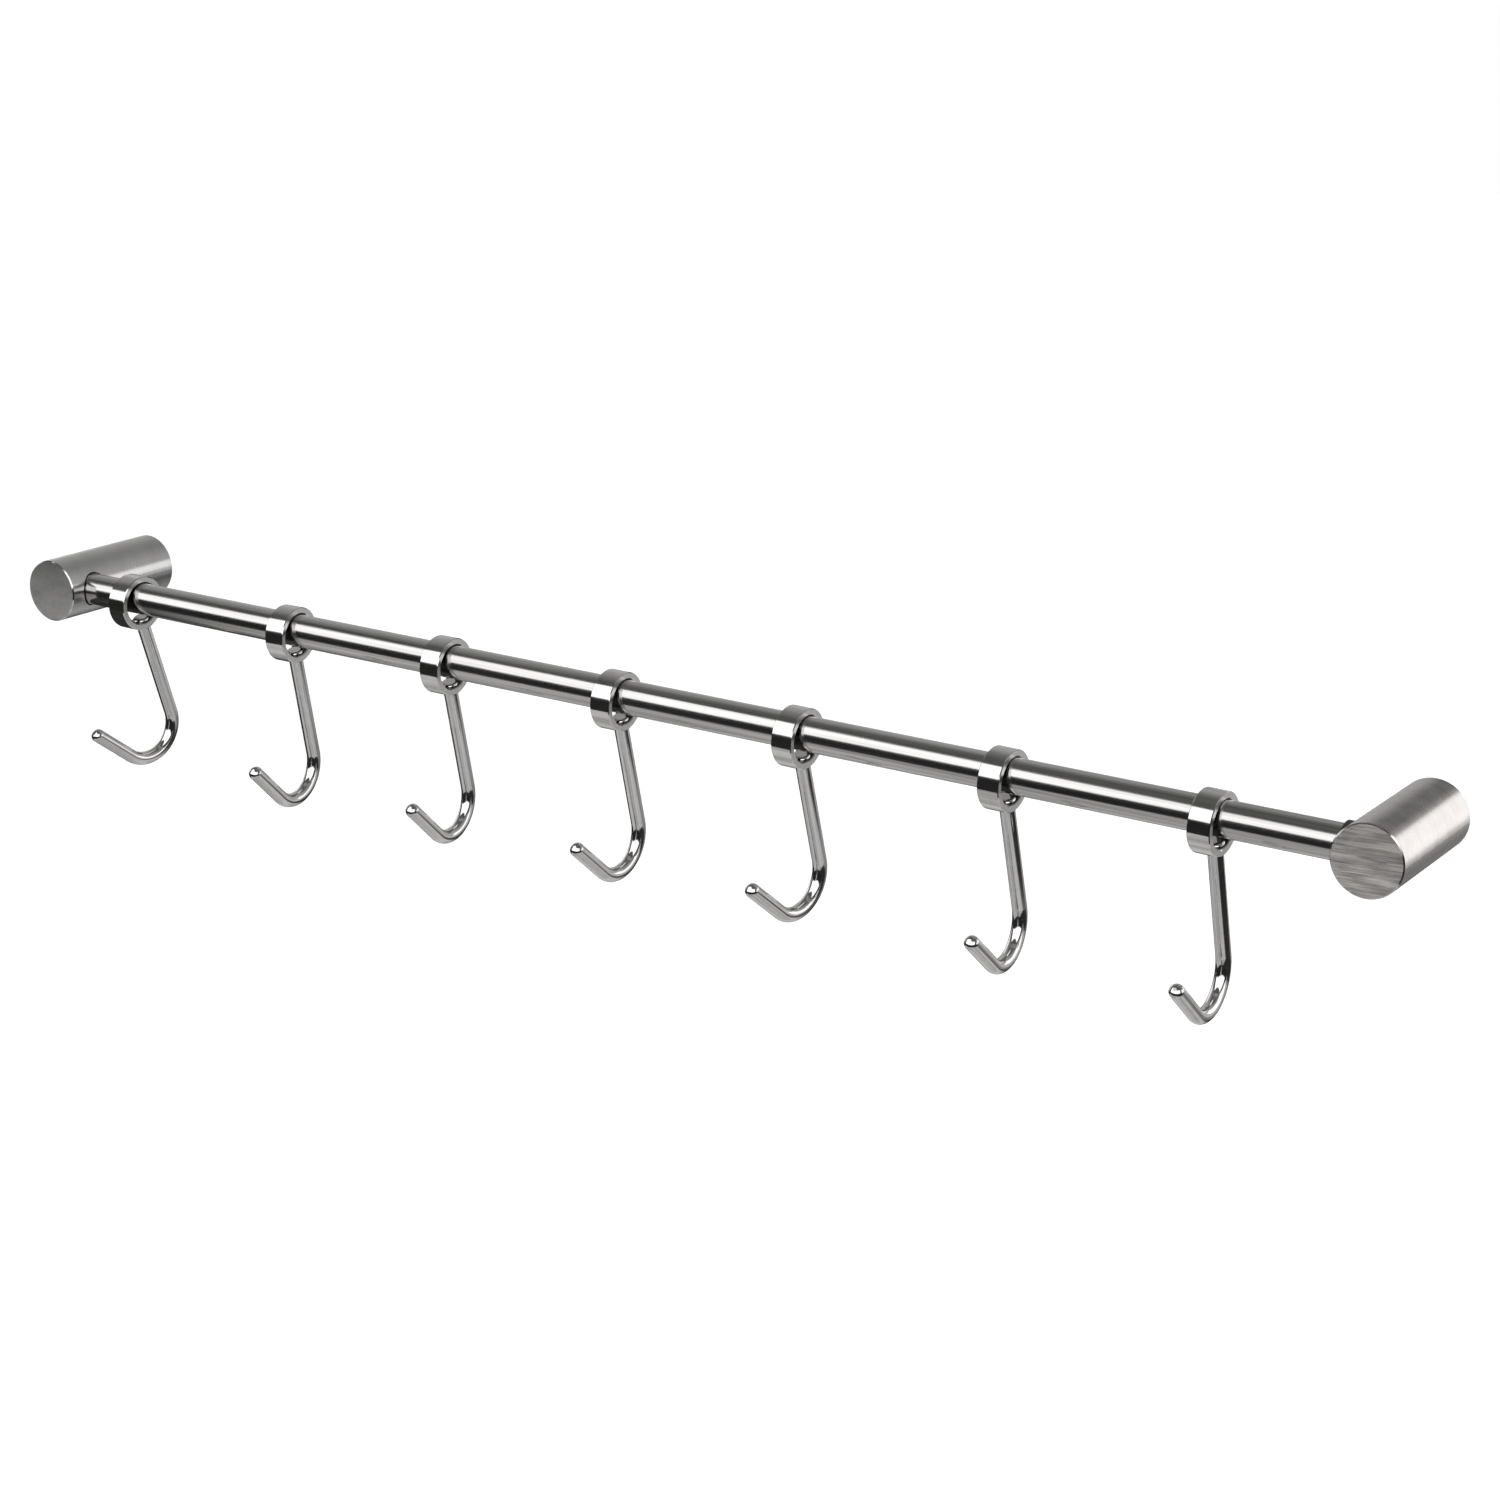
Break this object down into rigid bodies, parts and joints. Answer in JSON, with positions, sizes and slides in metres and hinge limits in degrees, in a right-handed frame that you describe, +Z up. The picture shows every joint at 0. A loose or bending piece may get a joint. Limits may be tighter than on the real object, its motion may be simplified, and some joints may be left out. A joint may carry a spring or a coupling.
{
  "type": "kitchen utensil rail",
  "caption": "Wall-mounted round steel rail on two turned posts, with sliding ring hooks that swing and hold kitchen utensils.",
  "frame": {"origin": "on the wall, midway between the two posts and level with the axis of the rail", "axes": "+X along the rail, +Y into the wall, +Z up"},
  "size_m": [0.593, 0.0726, 0.0849],
  "materials": {
    "rail_steel": "fine lengthwise brushed stainless steel",
    "post_steel": "satin turned stainless steel, faces brushed across",
    "polished_steel": "polished bright stainless steel",
    "black_plastic": "matt black plastic",
    "fixing_steel": "plain turned steel"
  },
  "bodies": {
    "root": {"rail_tube": "rail_steel", "post_left": "post_steel", "post_right": "post_steel", "rail_bush_left": "black_plastic", "rail_bush_right": "black_plastic", "wall_boss_left": "fixing_steel", "wall_boss_right": "fixing_steel", "grub_screw_left": "fixing_steel", "grub_screw_right": "fixing_steel"},
    "ring_1": {"hook_ring_1": "polished_steel"},
    "wire_1": {"hook_wire_1": "polished_steel"},
    "ring_2": {"hook_ring_2": "polished_steel"},
    "wire_2": {"hook_wire_2": "polished_steel"},
    "ring_3": {"hook_ring_3": "polished_steel"},
    "wire_3": {"hook_wire_3": "polished_steel"},
    "ring_4": {"hook_ring_4": "polished_steel"},
    "wire_4": {"hook_wire_4": "polished_steel"},
    "ring_5": {"hook_ring_5": "polished_steel"},
    "wire_5": {"hook_wire_5": "polished_steel"},
    "ring_6": {"hook_ring_6": "polished_steel"},
    "wire_6": {"hook_wire_6": "polished_steel"},
    "ring_7": {"hook_ring_7": "polished_steel"},
    "wire_7": {"hook_wire_7": "polished_steel"}
  },
  "joints": [
    {"name": "hook_1_slide", "type": "slide", "parent": "root", "child": "ring_1", "axis": [1, 0, 0], "range_m": [-0.0155, 0.034]},
    {"name": "hook_1_swing", "type": "hinge", "parent": "ring_1", "child": "wire_1", "pos_m": [-0.2498, -0.045, -0.00195], "axis": [0.9992, -0.0401, 0], "range_deg": [-116, 25]},
    {"name": "hook_2_slide", "type": "slide", "parent": "root", "child": "ring_2", "axis": [1, 0, 0], "range_m": [-0.034, 0.031]},
    {"name": "hook_2_swing", "type": "hinge", "parent": "ring_2", "child": "wire_2", "pos_m": [-0.1673, -0.045, -0.00195], "axis": [0.999, 0.0436, 0], "range_deg": [-111, 31]},
    {"name": "hook_3_slide", "type": "slide", "parent": "root", "child": "ring_3", "axis": [1, 0, 0], "range_m": [-0.031, 0.032]},
    {"name": "hook_3_swing", "type": "hinge", "parent": "ring_3", "child": "wire_3", "pos_m": [-0.0905, -0.045, -0.00195], "axis": [0.9999, 0.0105, 0], "range_deg": [-112, 29]},
    {"name": "hook_4_slide", "type": "slide", "parent": "root", "child": "ring_4", "axis": [1, 0, 0], "range_m": [-0.032, 0.032]},
    {"name": "hook_4_swing", "type": "hinge", "parent": "ring_4", "child": "wire_4", "pos_m": [-0.0115, -0.045, -0.00195], "axis": [1, 0, 0], "range_deg": [-113, 28]},
    {"name": "hook_5_slide", "type": "slide", "parent": "root", "child": "ring_5", "axis": [1, 0, 0], "range_m": [-0.032, 0.034]},
    {"name": "hook_5_swing", "type": "hinge", "parent": "ring_5", "child": "wire_5", "pos_m": [0.0666, -0.045, -0.00195], "axis": [0.9997, -0.0262, 0], "range_deg": [-115, 26]},
    {"name": "hook_6_slide", "type": "slide", "parent": "root", "child": "ring_6", "axis": [1, 0, 0], "range_m": [-0.034, 0.0315]},
    {"name": "hook_6_swing", "type": "hinge", "parent": "ring_6", "child": "wire_6", "pos_m": [0.1487, -0.045, -0.00195], "axis": [0.9996, -0.0297, 0], "range_deg": [-114, 27]},
    {"name": "hook_7_slide", "type": "slide", "parent": "root", "child": "ring_7", "axis": [1, 0, 0], "range_m": [-0.0315, 0.0395]},
    {"name": "hook_7_swing", "type": "hinge", "parent": "ring_7", "child": "wire_7", "pos_m": [0.226, -0.045, -0.00195], "axis": [0.9993, -0.0366, 0], "range_deg": [-114, 28]}
  ]
}
